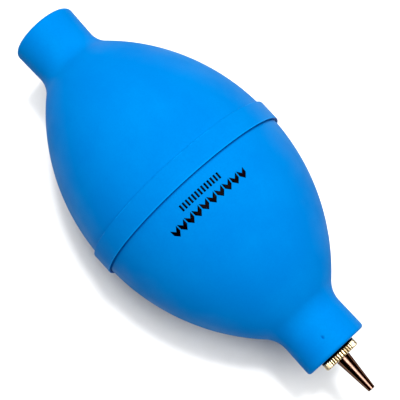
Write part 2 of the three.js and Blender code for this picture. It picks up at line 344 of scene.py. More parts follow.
def remap(material, value, low, high, new_low=0.0, new_high=1.0):
    """A number moved from one range to another, and held inside it."""
    node = add_node(
        material, "MapRange", Value=value,
        From_Min=low, From_Max=high, To_Min=new_low, To_Max=new_high,
    )
    return node.outputs["Result"]


def blend_colours(material, factor, first, second):
    """The first colour where the factor is 0 and the second where it is 1."""
    node = add_node(material, "Mix", {"data_type": "RGBA"})
    for index, value in ((0, factor), (6, first), (7, second)):
        if isinstance(value, bpy.types.NodeSocket):
            link(material, value, node.inputs[index])
        else:
            node.inputs[index].default_value = value
    return node.outputs[2]


def bump(material, height, distance, strength=1.0, under=None):
    """A bump of that many millimetres. A bump under it is added to it."""
    node = add_node(material, "Bump", Height=height, Distance=distance * MM, Strength=strength)
    if under is not None:
        link(material, under, node.inputs["Normal"])
    return node.outputs["Normal"]


def surface_mark(material, name):
    """A number that the piece's own points carry. It is 0 on a piece that has none."""
    node = add_node(material, "Attribute", {"attribute_name": name})
    return node.outputs["Fac"]


def mark_points(piece, name, values):
    """Stores one number for each point, for a finish to read."""
    attribute = piece.data.attributes.new(name, "FLOAT", "POINT")
    attribute.data.foreach_set("value", np.ascontiguousarray(values, np.float32).ravel())


# %% [markdown]
# The bulb is taken to be natural rubber, coloured right through and moulded in a steel mould whose
# spark-cut skin leaves a fine matt grain. Handling polishes it a little in places, and a faint
# pale bloom comes to its surface. Paint would be a flat colour with a gloss, so instead three
# sizes of noise are used: broad patches for bloom and polish, a middle size for unevenness in the
# mould, and a fine one for the grain. Two marks carried by the points add a painted highlight on
# the band's front corner, with pale specks on its rear edge, and painted shade in creases and a
# pit.

# %% Blue rubber
RUBBER_BLUE = (0.0003, 0.123, 0.390, 1.0)
RUBBER_BLOOM = (0.0006, 0.137, 0.410, 1.0)
# The darker blue is the random speckle, and also painted shade in creases and the pit.
RUBBER_SPECKLE_AND_SHADE = (0.0002, 0.040, 0.21, 1.0)
# The paler blue is a painted highlight on the band's front corner, and the specks on its rear edge.
RUBBER_HIGHLIGHT_AND_SPECKS = (0.006, 0.26, 0.68, 1.0)

blue_rubber, rubber_shader = start_finish(
    "blue_rubber", Specular_IOR_Level=0.06, Specular_Tint=(0.04, 1.0, 0.3, 1.0),
)
bloom_noise = noise(blue_rubber, 70, detail=4, roughness=0.6)
bloom_patches = remap(blue_rubber, bloom_noise, 0.4, 0.7)
speckle_noise = noise(blue_rubber, 2600, detail=2, roughness=0.6)
speckle = remap(blue_rubber, speckle_noise, 0.3, 0.7, new_high=0.12)
rubber_colour = blend_colours(blue_rubber, bloom_patches, RUBBER_BLUE, RUBBER_BLOOM)
rubber_colour = blend_colours(blue_rubber, speckle, rubber_colour, RUBBER_SPECKLE_AND_SHADE)
# Then the painted highlight and specks, and the painted shade in creases, from the points' marks.
rubber_colour = blend_colours(
    blue_rubber, surface_mark(blue_rubber, "highlight_and_specks"), rubber_colour, RUBBER_HIGHLIGHT_AND_SPECKS)
rubber_colour = blend_colours(
    blue_rubber, surface_mark(blue_rubber, "painted_shade"), rubber_colour, RUBBER_SPECKLE_AND_SHADE)
polish_noise = noise(blue_rubber, 110, detail=3)
rubber_polish = remap(blue_rubber, polish_noise, 0.35, 0.65, new_low=0.56, new_high=0.72)
mould_waves = bump(blue_rubber, noise(blue_rubber, 240, detail=1), distance=0.05, strength=0.35)
grain_noise = noise(blue_rubber, 5200, detail=3, roughness=0.7)
mould_grain = bump(blue_rubber, grain_noise, distance=0.02, strength=0.8, under=mould_waves)
link(blue_rubber, rubber_colour, rubber_shader.inputs["Base Color"])
link(blue_rubber, rubber_polish, rubber_shader.inputs["Roughness"])
link(blue_rubber, mould_grain, rubber_shader.inputs["Normal"])

# %% [markdown]
# The seal and the valve seat are black rubber, and the print is black ink. Neither is a true
# black: a little dust greys them, and the ink is thinner in places, so both get their own noise.

# %% Black rubber and ink


def black_finish(name, dark, dusty, coarse, rough, spread=0.08):
    """A dusty black: two greys mixed by noise, with a fine bump.

    The roughness runs from rough - spread to rough + spread.
    """
    material, shader = start_finish(name, Specular_IOR_Level=0.06)
    dust = remap(material, noise(material, coarse, detail=4, roughness=0.65), 0.45, 0.75)
    shade = remap(material, noise(material, coarse / 3), 0.3, 0.7, rough - spread, rough + spread)
    grain = bump(material, noise(material, 4 * coarse), distance=0.01, strength=0.6)
    link(material, blend_colours(material, dust, dark, dusty), shader.inputs["Base Color"])
    link(material, shade, shader.inputs["Roughness"])
    link(material, grain, shader.inputs["Normal"])
    return material


black_rubber = black_finish(
    "black_rubber", (0.002, 0.002, 0.0025, 1), (0.009, 0.009, 0.010, 1), coarse=1500, rough=0.6)
print_ink = black_finish(
    "print_ink", (0.0015, 0.0005, 0.0008, 1), (0.007, 0.002, 0.004, 1), coarse=900, rough=0.65)

# %% [markdown]
# The metal parts are turned on a lathe and then plated or polished. A lathe leaves fine rings
# round the axis, so the noise is stretched: it varies quickly along the axis and hardly at all
# round it. Only the stretch, the colours and the polish differ from one metal to the next.

# %% Metals
# The dark colour is painted shade, for creases that a piece marks.
METAL_PAINTED_SHADE = (0.025, 0.012, 0.005, 1.0)
LATHE_STRETCH = (14000, 300, 300)  # lumps per metre along the axis, then across it


def metal_finish(name, colour, tarnish, smooth, dull, scratch, edge_tint):
    """A turned metal: tarnish in patches, painted shade in marked creases, lathe rings as a bump.
    """
    material, shader = start_finish(name, Metallic=1.0, Specular_Tint=edge_tint)
    patches = remap(material, noise(material, 900, detail=4, roughness=0.6), 0.4, 0.75)
    rings = noise(material, 1.0, roughness=0.7, stretch=LATHE_STRETCH)
    handling = noise(material, 1800, detail=3, roughness=0.6)
    handled = remap(material, handling, 0.35, 0.7, smooth, dull)
    metal_colour = blend_colours(material, patches, colour, tarnish)
    # Marked creases are darkened: painted shade.
    metal_colour = blend_colours(
        material, surface_mark(material, "painted_shade"), metal_colour, METAL_PAINTED_SHADE)
    link(material, metal_colour, shader.inputs["Base Color"])
    link(material, handled, shader.inputs["Roughness"])
    link(material, bump(material, rings, distance=0.01, strength=scratch), shader.inputs["Normal"])
    return material


copper = metal_finish(
    "polished_copper", (0.140, 0.088, 0.066, 1), (0.105, 0.058, 0.042, 1),
    smooth=0.14, dull=0.24, scratch=0.15, edge_tint=(0.08, 0.02, 0.01, 1),
)
pale_gold = metal_finish(
    "pale_gold_plate", (0.55, 0.45, 0.29, 1), (0.40, 0.30, 0.16, 1),
    smooth=0.22, dull=0.34, scratch=0.25, edge_tint=(1.0, 0.95, 0.85, 1),
)
brass = metal_finish(
    "turned_brass", (0.72, 0.50, 0.20, 1), (0.50, 0.32, 0.11, 1),
    smooth=0.28, dull=0.42, scratch=0.5, edge_tint=(1.0, 0.9, 0.7, 1),
)
steel = metal_finish(
    "bright_steel", (0.62, 0.63, 0.65, 1), (0.42, 0.42, 0.43, 1),
    smooth=0.16, dull=0.30, scratch=0.2, edge_tint=WHITE,
)

# %% [markdown]
# ## The rubber halves
# The bulb is moulded as two cups and joined round the middle. Each is a body of revolution: the
# belly is one long arc whose centre lies below the axis, and a hollow fillet carries it into a
# short neck. A sphere stretched by hand could come close, but arcs give the exact outline, and
# the inside wall is the same arc made smaller by the wall's thickness.

# %% Bulb outline
CROWN = 27.3
ARCH_RADIUS = 56.3
ARCH_STATION = 0.8
ARCH_CENTRE = CROWN - ARCH_RADIUS
WALL = 2.4
BORE = 4.6
LAP_LENGTH = 3.0
LAP_RADIUS = 26.05
FILM = 0.05
FRONT_NECK = {"end": node_span("front_cup")[1], "root": 8.8, "mouth": 8.9, "fillet": 7.0,
              "rounding": 0.9}
TAIL_NECK = {"end": -node_span("rear_cup")[0], "root": 8.6, "mouth": 8.85, "fillet": 6.5,
             "rounding": 1.3}
LIP = 0.4  # the rounding where the mouth turns into the bore
BULB_SIDES = 192
POINTS = {"belly": 72, "fillet": 22, "mouth": 12, "straight": 8, "lip": 6, "inside": 30}


def arch_station(size, radius):
    """Where an arc of that size about the arch's centre comes down to a radius, by Pythagoras."""
    return ARCH_STATION + math.sqrt(size ** 2 - (radius - ARCH_CENTRE) ** 2)


def belly_radius(station):
    """The belly's outside radius at a station: its centre plus the arc's height there."""
    return ARCH_CENTRE + np.sqrt(ARCH_RADIUS ** 2 - (np.abs(station) - ARCH_STATION) ** 2)


def outside_of_half(neck):
    """From the rim over the belly, through the fillet that touches both arcs, to the mouth."""
    fillet_radius = neck["root"] + neck["fillet"]
    fillet_station = arch_station(ARCH_RADIUS + neck["fillet"], fillet_radius)
    touch = math.atan2(fillet_radius - ARCH_CENTRE, fillet_station - ARCH_STATION)
    rim = math.acos((FILM - ARCH_STATION) / ARCH_RADIUS)
    belly = arc(ARCH_STATION, ARCH_CENTRE, ARCH_RADIUS, rim, touch, POINTS["belly"])
    fillet = arc(
        fillet_station, fillet_radius, neck["fillet"], touch + np.pi, 1.5 * np.pi,
        POINTS["fillet"])[1:]
    rounding = neck["rounding"]
    mouth = arc(
        neck["end"] - rounding, neck["mouth"] - rounding, rounding, np.pi / 2, 0, POINTS["mouth"])
    straight = np.linspace(fillet[-1], mouth[0], POINTS["straight"])[1:-1]
    return np.concatenate([belly, fillet, straight, mouth])


def inside_of_half(neck, rim_station):
    """From the mouth down the bore and back along the wall's inside to the rim."""
    size = ARCH_RADIUS - WALL
    bore_end = arch_station(size, BORE)
    from_angle = math.acos((bore_end - ARCH_STATION) / size)
    to_angle = math.acos((rim_station - ARCH_STATION) / size)
    lip = arc(neck["end"] - LIP, BORE + LIP, LIP, 0, -np.pi / 2, POINTS["lip"])
    bore = np.linspace(lip[-1], (bore_end, BORE), POINTS["straight"])[1:-1]
    belly = arc(ARCH_STATION, ARCH_CENTRE, size, from_angle, to_angle, POINTS["inside"])
    return np.concatenate([lip, bore, belly])


# %% [markdown]
# The front half has a small flaw in its neck: a pit, such as an air bubble leaves in a mould. A
# real dent in the surface catches light from any side, so the points near it are pushed in with a
# smooth bell-shaped falloff, and the grid's columns are drawn closer together round its angle to
# have enough points there. The same is done nowhere else, since the rest is smooth.

# %% Front half
PIT = {"station": 49.55, "angle": math.radians(-10.6), "radius": 0.42, "depth": 0.28}
PIT_ROWS = {"margin": 0.9, "count": 13}
PIT_CROWDING = 0.8
# The pit and a thin strip in front of the band's step are darkened: painted shade.
PIT_SHADE = 0.75
CREASE = {"width": 0.2, "gap": 0.1, "shade_amount": 0.8, "behind": 0.8, "ahead": 1.2, "rows": 26}
NECK_OUTSIDE = 7.0  # points further out than this are not the bore's
BELLY_OUTSIDE = 20.0


def crowded_turn(count, focus, share):
    """A whole turn of angles, crowded towards one: even angles minus a sine that squeezes them."""
    even = turn_round(count)
    return focus + even - share * np.sin(even)


def bell(distance, width):
    """1 at no distance, falling as a bell: e to the minus (distance / width) squared."""
    return np.exp(-((distance / width) ** 2))


def finer_rows(outline, low, high, count):
    """A rising outline whose rows between two stations are swapped for evenly spaced ones.

    The new rows lie on the straight lines between the old ones.
    """
    station = np.linspace(low, high, count)
    rows = np.stack([station, np.interp(station, outline[:, 0], outline[:, 1])], axis=-1)
    return np.concatenate([outline[outline[:, 0] < low], rows, outline[outline[:, 0] > high]])


front_outside = outside_of_half(FRONT_NECK)
front_outside = finer_rows(
    front_outside, BAND_HALF - CREASE["behind"], BAND_HALF + CREASE["ahead"], CREASE["rows"])
front_outside = finer_rows(
    front_outside, PIT["station"] - PIT_ROWS["margin"], PIT["station"] + PIT_ROWS["margin"],
    PIT_ROWS["count"])
front_outline = np.concatenate([
    [[FILM, LAP_RADIUS - FILM]],
    front_outside,
    inside_of_half(FRONT_NECK, ARCH_STATION),
    [[-LAP_LENGTH, CROWN - WALL], [-LAP_LENGTH, LAP_RADIUS - FILM]],
])

angle = crowded_turn(BULB_SIDES, PIT["angle"], PIT_CROWDING)[None, :]
station, radius = front_outline[:, :1], front_outline[:, 1:]
from_pit = np.hypot(station - PIT["station"], FRONT_NECK["root"] * (angle - PIT["angle"]))
in_pit = np.where(radius > NECK_OUTSIDE, bell(from_pit, PIT["radius"]), 0.0)
front_half = put_mesh(
    "front_half", place(station, radius - PIT["depth"] * in_pit, angle),
    grid_faces(len(front_outline), BULB_SIDES))
# Painted shade: darker in the pit and in a thin strip at the foot of the band's step.
from_band = np.abs(station - BAND_HALF - CREASE["gap"]) + 0 * angle
front_crease_shade = np.where(radius > BELLY_OUTSIDE, bell(from_band, CREASE["width"]), 0.0)
mark_points(front_half, "painted_shade", np.maximum(PIT_SHADE * in_pit, CREASE["shade_amount"] * front_crease_shade))
front_half.data.materials.append(blue_rubber)
attach(front_half, "bulb", "blue_rubber", "front_cup")

# %% [markdown]
# The rear half is worked out as if it faced forwards and then turned end for end by making its
# stations negative. That would also turn its faces inside out, so the outline is read backwards,
# which turns them out again. Its rim is a socket that the front half's rim plugs into.

# %% Rear half
rear_outline = np.concatenate([
    [[FILM, LAP_RADIUS + FILM]],
    outside_of_half(TAIL_NECK),
    inside_of_half(TAIL_NECK, LAP_LENGTH + 2 * FILM),
    [[LAP_LENGTH + 2 * FILM, LAP_RADIUS + FILM]],
])
rear_outline = (rear_outline * (-1, 1))[::-1]
rear_half = turned("rear_half", rear_outline, BULB_SIDES)
rear_half.data.materials.append(blue_rubber)
attach(rear_half, "bulb", "blue_rubber", "rear_cup")

# %% [markdown]
# ## The raised band
# A strip of the same rubber is bonded over the joint. Its front edge is crisp, with a painted
# highlight along the corner and painted shade on the step's face. Its rear edge is uneven, as a
# trimmed or glued edge often is, with specks. The edge's unevenness is a sum of a few sines round
# the turn, with fixed phases, so it is the same each time, and it fades out away from that edge.

# %% Band
BAND_FOOT = CROWN + 0.02
BAND_EASE = 0.18
BAND_SIDES = 480
FLAT_ROWS = 18  # extra rows on the flat, closer together near its ends
WAVES = ((7, 0.4, 1.0), (19, 2.1, 0.7), (43, 1.3, 0.5), (97, 0.2, 0.4))  # per turn, phase, size
SWAY = {"amount": 0.09, "fades_over": 1.0}
# The pale line along the band's front corner is a painted highlight.
FRONT_HIGHLIGHT = {"inset": 0.12, "width": 0.16, "amount": 0.3}
# The front step's face is darkened: painted shade.
FRONT_FACE = {"inset": 0.06, "below": 0.12, "shade_amount": 0.9}
REAR_SPECKS = {"inset": 0.05, "width": 0.12, "amount": 0.35, "where_wave_over": 0.2}

band_outline = eased([
    (-BAND_HALF, BAND_FOOT), (-BAND_HALF, BAND_RADIUS),
    (BAND_HALF, BAND_RADIUS), (BAND_HALF, BAND_FOOT),
], BAND_EASE)
half_rows = len(band_outline) // 2
flat_start, flat_end = band_outline[half_rows - 1], band_outline[half_rows]
along = (1 - np.cos(np.linspace(0, np.pi, FLAT_ROWS + 2)))[1:-1, None] / 2
flat_rows = flat_start + along * (flat_end - flat_start)
band_outline = np.insert(band_outline, half_rows, flat_rows, axis=0)
print("band outline points:", len(band_outline))

angle = turn_round(BAND_SIDES)[None, :]
station, radius = band_outline[:, :1], band_outline[:, 1:]
wave = sum(size * np.sin(per_turn * angle + phase) for per_turn, phase, size in WAVES)
wave = wave / sum(size for _, _, size in WAVES)
near_rear = np.clip((SWAY["fades_over"] - station - BAND_HALF) / SWAY["fades_over"], 0, 1)
band_points = place(station + SWAY["amount"] * wave * near_rear, radius, angle)
seam_band = put_mesh("seam_band_rubber", band_points, grid_faces(len(band_outline), BAND_SIDES))
# The front corner's pale line is a painted highlight, and the rear corner's specks are flecks on
# the edge.
front_corner_highlight = bell(
    np.hypot(station - BAND_HALF + FRONT_HIGHLIGHT["inset"], radius - BAND_RADIUS), FRONT_HIGHLIGHT["width"])
on_front_face = ((station > BAND_HALF - FRONT_FACE["inset"])
                 & (radius < BAND_RADIUS - FRONT_FACE["below"]))
rear_corner = bell(
    np.hypot(station + BAND_HALF - REAR_SPECKS["inset"], radius - BAND_RADIUS),
    REAR_SPECKS["width"])
specks = REAR_SPECKS["amount"] * rear_corner * (wave > REAR_SPECKS["where_wave_over"])
mark_points(seam_band, "highlight_and_specks", FRONT_HIGHLIGHT["amount"] * front_corner_highlight + specks)
# Painted shade on the face of the front step.
mark_points(
    seam_band, "painted_shade", FRONT_FACE["shade_amount"] * np.where(on_front_face, 1.0, 0.0) + 0 * angle)
seam_band.data.materials.append(blue_rubber)
attach(seam_band, "bulb", "blue_rubber", "seam_band")

# %% [markdown]
# ## The print
# The front half carries two rows of black print across its top: a bold row, and a thin one
# nearer the band. Here the bold row is a run of arrows that say which way the air goes, and the
# thin one is a scale of ticks. An image would blur close up, so each mark is a sheet of ink with
# a real thickness. It is a small grid laid on the belly's own curve, closed by a copy of itself
# underneath and a wall round its edge.

# %% Ink helper
INK_BOTTOM = 0.004
INK_TOP = 0.035


def slab_faces(rows, columns):
    """Faces of a closed slab made of a top grid followed by a bottom grid of the same size."""
    top = np.arange(rows * columns).reshape(rows, columns)
    under = top + rows * columns
    cells = grid_faces(rows, columns, False, False)
    rim = np.concatenate([top[:-1, 0], top[-1, :-1], top[:0:-1, -1], top[0, :0:-1]])
    rim_under = rim + rows * columns
    walls = np.stack([rim, rim_under, np.roll(rim_under, -1), np.roll(rim, -1)], axis=-1)
    return np.concatenate([cells, (cells + under[0, 0])[:, ::-1], walls])


def ink_marks(name, station, across, centres):
    """One slab for each centre angle: stations and distances across as grids, in millimetres.

    The distance across becomes an angle on the belly, and the radius is the belly's at that
    station, so the ink follows the rubber.
    """
    rows, columns = station.shape
    angle = centres[:, None, None] + across / CROWN
    belly = belly_radius(station)
    sheets = [place(station, belly + lift, angle) for lift in (INK_TOP, INK_BOTTOM)]
    points = np.stack(sheets, axis=1)
    first = 2 * rows * columns * np.arange(len(centres))[:, None, None]
    faces = (slab_faces(rows, columns)[None] + first).reshape(-1, 4)
    piece = put_mesh(name, points, faces)
    piece.data.materials.append(print_ink)
    return attach(piece, "bulb", "black_rubber")


# %% Arrows and ticks
ARROWS = {"count": 10, "rear": 8.65, "front": 11.15, "stroke": 1.4, "half_width": 1.02,
          "from": 18.6, "to": -26.2}
TICKS = {"count": 13, "rear": 5.95, "front": 7.6, "width": 0.5, "from": 8.2, "to": -15.8}
INK_ROWS = 5
ARROW_COLUMNS = 13
TICK_COLUMNS = 3

span = np.linspace(-1, 1, ARROW_COLUMNS)[None, :]
depth = np.linspace(0, 1, INK_ROWS)[:, None]
arrow_station = (
    ARROWS["rear"] + depth * ARROWS["stroke"]
    + (ARROWS["front"] - ARROWS["rear"] - ARROWS["stroke"]) * (1 - np.abs(span)))
arrow_across = ARROWS["half_width"] * span + 0 * depth
arrow_angles = np.radians(np.linspace(ARROWS["from"], ARROWS["to"], ARROWS["count"]))
ink_marks("flow_arrows", arrow_station, arrow_across, arrow_angles)

tick_span = np.linspace(-1, 1, TICK_COLUMNS)[None, :]
tick_station = TICKS["rear"] + depth * (TICKS["front"] - TICKS["rear"]) + 0 * tick_span
tick_across = TICKS["width"] / 2 * tick_span + 0 * depth
tick_angles = np.radians(np.linspace(TICKS["from"], TICKS["to"], TICKS["count"]))
ink_marks("scale_ticks", tick_station, tick_across, tick_angles)

# %% [markdown]
# ## The nozzle
# A thin black washer seals the nozzle against the neck. It is a plain ring, squeezed a little, so
# its outer edge is well rounded, and it bulges into the fine gaps on both its sides.

# %% Seal
seal_start, seal_end = node_span("collar_seal")
SEAL_BULGE = 0.06
SEAL_RADIUS = 4.9
SEAL_BORE = 2.6
SEAL_EASE = 0.12
RING_SIDES = 96
seal = turned("seal_ring", eased([
    (seal_start - SEAL_BULGE, SEAL_BORE), (seal_start - SEAL_BULGE, SEAL_RADIUS),
    (seal_end + SEAL_BULGE, SEAL_RADIUS), (seal_end + SEAL_BULGE, SEAL_BORE),
], SEAL_EASE), RING_SIDES)
seal.data.materials.append(black_rubber)
attach(seal, "seal", "black_rubber", "collar_seal")

# %% [markdown]
# The collar is the part that the fingers turn, so its rim is knurled with straight teeth. A
# boolean with forty cutters would work, but a radius that rises and falls forty times in a turn
# gives the same shape in one surface. The teeth fade into the two chamfers because the radius is
# the smaller of the knurl's and the chamfer's.

# %% Knurled collar
COLLAR = {"radius": 4.95, "teeth": 40, "depth": 0.34, "crest": 0.34}
REAR_CHAMFER = 0.12
FRONT_CHAMFER = 0.3
COLLAR_BORE = {"front": 1.62, "rear": 2.1, "step": 55.5}
COLLAR_FACE = 4.4  # where the flat faces meet the toothed rim's rows
COLLAR_EASE = 0.05
COLUMNS_PER_TOOTH = 12
RIM_ROWS = 28
# The tooth roots are darkened: painted shade.
GAP_SHADE = {"from": 0.25, "over": 0.5}
collar_start, collar_end = node_span("knurled_collar")


def knurl_radius(angle):
    """A tooth's height against its share of a tooth: flat on top, straight down to a sharp root."""
    share = np.abs((angle * COLLAR["teeth"] / (2 * np.pi)) % 1.0 - 0.5) * 2
    drop = np.clip((share - COLLAR["crest"]) / (1 - COLLAR["crest"]), 0, 1)
    return COLLAR["radius"] - COLLAR["depth"] * drop


angle = turn_round(COLLAR["teeth"] * COLUMNS_PER_TOOTH)[None, :]
rim_station = np.linspace(collar_start, collar_end, RIM_ROWS)[:, None]
rear_slope = COLLAR["radius"] - REAR_CHAMFER + rim_station - collar_start
front_slope = COLLAR["radius"] - FRONT_CHAMFER + collar_end - rim_station
rim_radius = np.minimum(knurl_radius(angle), np.minimum(rear_slope, front_slope))
body = eased([
    (collar_end, COLLAR_FACE), (collar_end, COLLAR_BORE["front"]),
    (COLLAR_BORE["step"], COLLAR_BORE["front"]), (COLLAR_BORE["step"], COLLAR_BORE["rear"]),
    (collar_start, COLLAR_BORE["rear"]), (collar_start, COLLAR_FACE),
], COLLAR_EASE)
collar_station = np.concatenate([rim_station, body[:, :1]])
collar_radius = np.concatenate([rim_radius, body[:, 1:] + 0 * angle])
knurled_collar = put_mesh(
    "knurled_ring", place(collar_station, collar_radius, angle),
    grid_faces(len(collar_station), angle.size))
# Painted shade, darker towards the roots of the teeth.
tooth_depth = (COLLAR["radius"] - knurl_radius(angle)) / COLLAR["depth"]
gap_shade = np.clip((tooth_depth - GAP_SHADE["from"]) / GAP_SHADE["over"], 0, 1) + 0 * rim_station
mark_points(knurled_collar, "painted_shade", np.concatenate([gap_shade, 0 * body[:, 1:] + 0 * angle]))
knurled_collar.data.materials.append(pale_gold)
attach(knurled_collar, "nozzle", "pale_gold_plate", "knurled_collar")

# %% [markdown]
# The cone is turned from one rod, polished and coppered. Polished metal shows its surroundings
# rather than its own colour, so a plain straight side is right: it gives the long light streak
# between two dark flanks. Small radii at its shoulder and tip finish it.

# %% Cone
CONE = {"bore": 0.9, "stem": 1.5, "shoulder": 56.4, "base": 1.9, "tip": 0.95, "hole": 0.5,
        "taper_start": 58.4}
CONE_EASES = (0.05, 0.05, 0.03, 0.12, 0.14, 0.08, 0.05)  # one for each corner of the outline
CONE_SIDES = 128
cone_start, cone_tip = node_span("nozzle_cone")
cone = turned("copper_cone", eased([
    (cone_start, CONE["bore"]), (cone_start, CONE["stem"]), (CONE["shoulder"], CONE["stem"]),
    (CONE["shoulder"], CONE["base"]), (cone_tip, CONE["tip"]), (cone_tip, CONE["hole"]),
    (CONE["taper_start"], CONE["bore"]),
], CONE_EASES), CONE_SIDES)
cone.data.materials.append(copper)
attach(cone, "nozzle", "copper_plate", "nozzle_cone")

# %% [markdown]
# The nozzle's shank has a right-hand thread of one millimetre pitch. A thread is a surface whose
# radius depends on how far a point is from the nearest crest, and the crest moves on by one pitch
# for each turn. That one formula makes the ridge on the shank and the groove in the brass bush,
# and since both use the same phase, they stay in step as the nozzle is unscrewed.

# %% Thread formula
THREAD = {"pitch": 1.0, "core": 2.4, "crest": 2.9, "base": 0.7, "flat": 0.08}
shank_start, shank_end = node_span("nozzle_shank")


def thread_height(station, angle, base):
    """1 on a crest and 0 off the ridge: how far a point is from the nearest crest, scaled.

    The crest's station is the shank's start, minus one pitch for each turn of the angle, plus
    any whole number of pitches.
    """
    turns = (station - shank_start) / THREAD["pitch"] + angle / (2 * np.pi)
    off_crest = np.abs(turns - np.round(turns)) * THREAD["pitch"]
    drop = (off_crest - THREAD["flat"] / 2) / (base / 2 - THREAD["flat"] / 2)
    return 1 - np.clip(drop, 0, 1)


def fade(station, start, end, length):
    """0 outside start and end, and 1 inside, with a straight ramp of that length at each."""
    return np.clip(np.minimum(station - start, end - station) / length, 0, 1)


# %% Threaded shank
SHANK = {"thread_end": 53.9, "relief": 53.98, "neck": 2.3, "step": 54.6, "spigot": 2.0,
         "bore": 1.0, "lead_in": 2.25, "shoulder": 2.38}
SHANK_EASE = 0.04
RUN_OUT = {"margin": 0.1, "length": 0.5}  # how the ridge fades away at each end
THREAD_COLUMNS = 72
SHANK_ROWS = 140

angle = turn_round(THREAD_COLUMNS)[None, :]
threaded = np.linspace(shank_start, SHANK["thread_end"], SHANK_ROWS)[:, None]
ridge = thread_height(threaded, angle, THREAD["base"]) * fade(
    threaded, shank_start + RUN_OUT["margin"], SHANK["thread_end"] - RUN_OUT["margin"],
    RUN_OUT["length"])
thread_radius = THREAD["core"] + (THREAD["crest"] - THREAD["core"]) * ridge
rest = eased([
    (SHANK["thread_end"], SHANK["shoulder"]), (SHANK["relief"], SHANK["neck"]),
    (SHANK["step"], SHANK["neck"]), (SHANK["step"], SHANK["spigot"]),
    (shank_end, SHANK["spigot"]), (shank_end, SHANK["bore"]), (shank_start, SHANK["bore"]),
    (shank_start, SHANK["lead_in"]),
], SHANK_EASE)
shank = put_mesh(
    "threaded_shank",
    place(np.concatenate([threaded, rest[:, :1]]),
          np.concatenate([thread_radius, rest[:, 1:] + 0 * angle]), angle),
    grid_faces(len(threaded) + len(rest), angle.size))
shank.data.materials.append(brass)
attach(shank, "nozzle", "brass", "nozzle_shank")

# %% [markdown]
# The bush that the shank screws into is pushed into the neck from its mouth, and three saw-tooth
# barbs keep it there. The outline of the barbs is a short list of corners, repeated for each barb.

# %% Barbs and bush
SLEEVE_ROOT = 4.1
SLEEVE_RADIUS = 4.5
BARB = {"count": 3, "length": 2.4, "first": 1.2, "slope": 0.8}
BUSH = {"bore": 2.6, "inner_edge": 2.62, "mouth": 3.15, "rows": 170}
GROOVE = {"depth": 0.45, "base": 0.95, "starts": 1.2, "ends_past": 60.0, "run_out": 0.5}
BUSH_EASE = 0.06


def barb_corners(mouth, sense):
    """Root, crest, and root again for each barb, counted inwards from the mouth."""
    first = mouth + sense * (BARB["first"] + BARB["length"] * np.arange(BARB["count"]))
    station = np.stack([first, first, first + sense * BARB["length"] * BARB["slope"]], axis=-1)
    radius = np.broadcast_to([SLEEVE_ROOT, SLEEVE_RADIUS, SLEEVE_ROOT], station.shape)
    return np.stack([station.ravel(), radius.ravel()], axis=-1)


bush_start, bush_end = node_span("neck_bush")
bore_station = np.linspace(bush_end, bush_start, BUSH["rows"])[:, None]
groove = thread_height(bore_station, angle, GROOVE["base"]) * fade(
    bore_station, bush_start + GROOVE["starts"], GROOVE["ends_past"], GROOVE["run_out"])
bore_radius = BUSH["bore"] + GROOVE["depth"] * groove
bush_outside = eased(np.concatenate([
    [(bush_start, BUSH["inner_edge"]), (bush_start, SLEEVE_ROOT)],
    barb_corners(bush_end, -1)[::-1],
    [(bush_end, SLEEVE_ROOT), (bush_end, BUSH["mouth"])],
]), BUSH_EASE)
bush = put_mesh(
    "barbed_bush",
    place(np.concatenate([bush_outside[:, :1], bore_station]),
          np.concatenate([bush_outside[:, 1:] + 0 * angle, bore_radius]), angle),
    grid_faces(len(bush_outside) + len(bore_station), angle.size))
bush.data.materials.append(brass)
attach(bush, "bulb", "brass", "neck_bush")

# %% [markdown]
# ## The inlet valve
# The tail's valve can be seen only from behind: a brass sleeve with a gauze in its mouth. Air
# comes in through the gauze, lifts a steel ball off a rubber seat and passes into the bulb. The
# sleeve, the seat and their small radii are turned like the rest.

# %% Barrel and seat
BARREL = {"recess": 3.45, "recess_floor": -53.2, "inlet": 2.4, "flange_end": -52.2,
          "chamber": 3.2, "lip": 2.8, "lip_length": 0.3}
BARREL_EASE = 0.08
SEAT = {"bore": 1.3, "outer": 3.1}
SEAT_EASES = (0.2, 0.08, 0.08, 0.1)
barrel_start, barrel_end = node_span("valve_barrel")
barrel = turned("inlet_barrel", eased(np.concatenate([
    [(barrel_start, BARREL["recess"]), (barrel_start, SLEEVE_ROOT)],
    barb_corners(barrel_start, 1),
    [(barrel_end, SLEEVE_ROOT), (barrel_end, BARREL["lip"]),
     (barrel_end - BARREL["lip_length"], BARREL["lip"]),
     (barrel_end - BARREL["lip_length"], BARREL["chamber"]),
     (BARREL["flange_end"], BARREL["chamber"]), (BARREL["flange_end"], BARREL["inlet"]),
     (BARREL["recess_floor"], BARREL["inlet"]), (BARREL["recess_floor"], BARREL["recess"])],
]), BARREL_EASE), RING_SIDES)
barrel.data.materials.append(brass)
attach(barrel, "bulb", "brass", "valve_barrel")

seat_start, seat_end = node_span("valve_seat")
seat = turned("seat_ring", eased([
    (seat_start, SEAT["bore"]), (seat_start, SEAT["outer"]), (seat_end, SEAT["outer"]),
    (seat_end, SEAT["bore"]),
], SEAT_EASES), RING_SIDES)
seat.data.materials.append(black_rubber)
attach(seat, "bulb", "black_rubber", "valve_seat")

# %% [markdown]
# Wires need another kind of surface: a circle carried along a path. At each point of the path
# two directions across it are found, and the circle is drawn in them. A rounded end is a few
# more circles that shrink to a single closing point.

# %% Wires
CAP_ANGLES = (60.0, 30.0)  # where the circles of a rounded end sit on its half sphere
ALONG_AXIS = (1.0, 0.0, 0.0)


